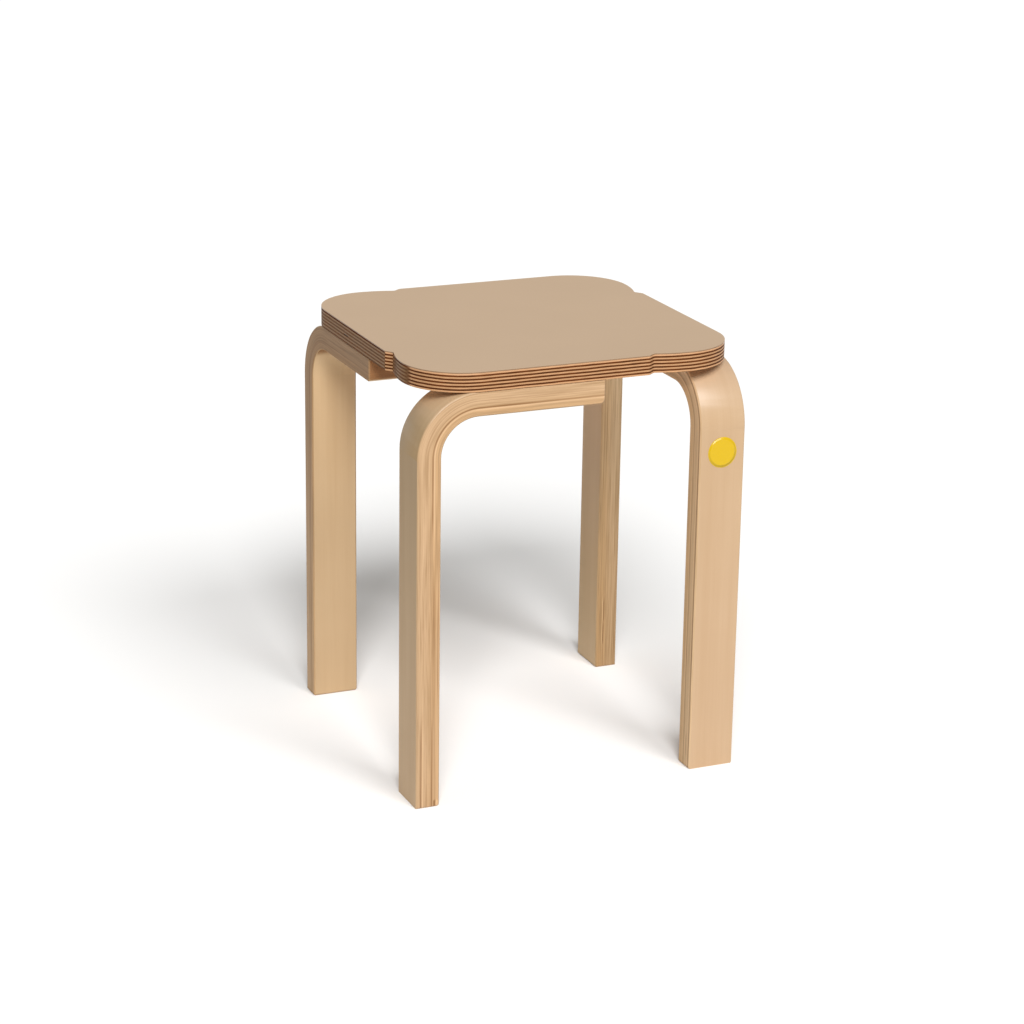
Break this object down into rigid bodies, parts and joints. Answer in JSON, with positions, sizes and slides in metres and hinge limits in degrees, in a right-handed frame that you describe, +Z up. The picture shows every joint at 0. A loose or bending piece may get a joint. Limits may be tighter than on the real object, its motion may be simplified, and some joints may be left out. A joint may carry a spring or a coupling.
{
  "type": "stacking stool",
  "caption": "Low stacking stool: square plywood seat with rounded corners on bent laminated legs set round it as a pinwheel, so that the stools nest when one is turned a little on the next.",
  "frame": {"origin": "on the floor under the middle of the seat", "axes": "+Z up; -Y towards the front side of the seat, +X to the right of someone who looks at that side"},
  "size_m": [0.28, 0.2802, 0.35],
  "materials": {
    "birch_plywood": "satin",
    "laminated_birch": "satin",
    "beige_laminate": "matte",
    "zinc_steel": "satin",
    "yellow_film": "satin"
  },
  "bodies": {
    "root": {"seat_core": "birch_plywood", "seat_top_laminate": "beige_laminate", "leg_front_left": "laminated_birch", "leg_front_right": "laminated_birch", "leg_back_right": "laminated_birch", "leg_back_left": "laminated_birch", "leg_screws": "zinc_steel", "round_sticker": "yellow_film"}
  },
  "joints": []
}
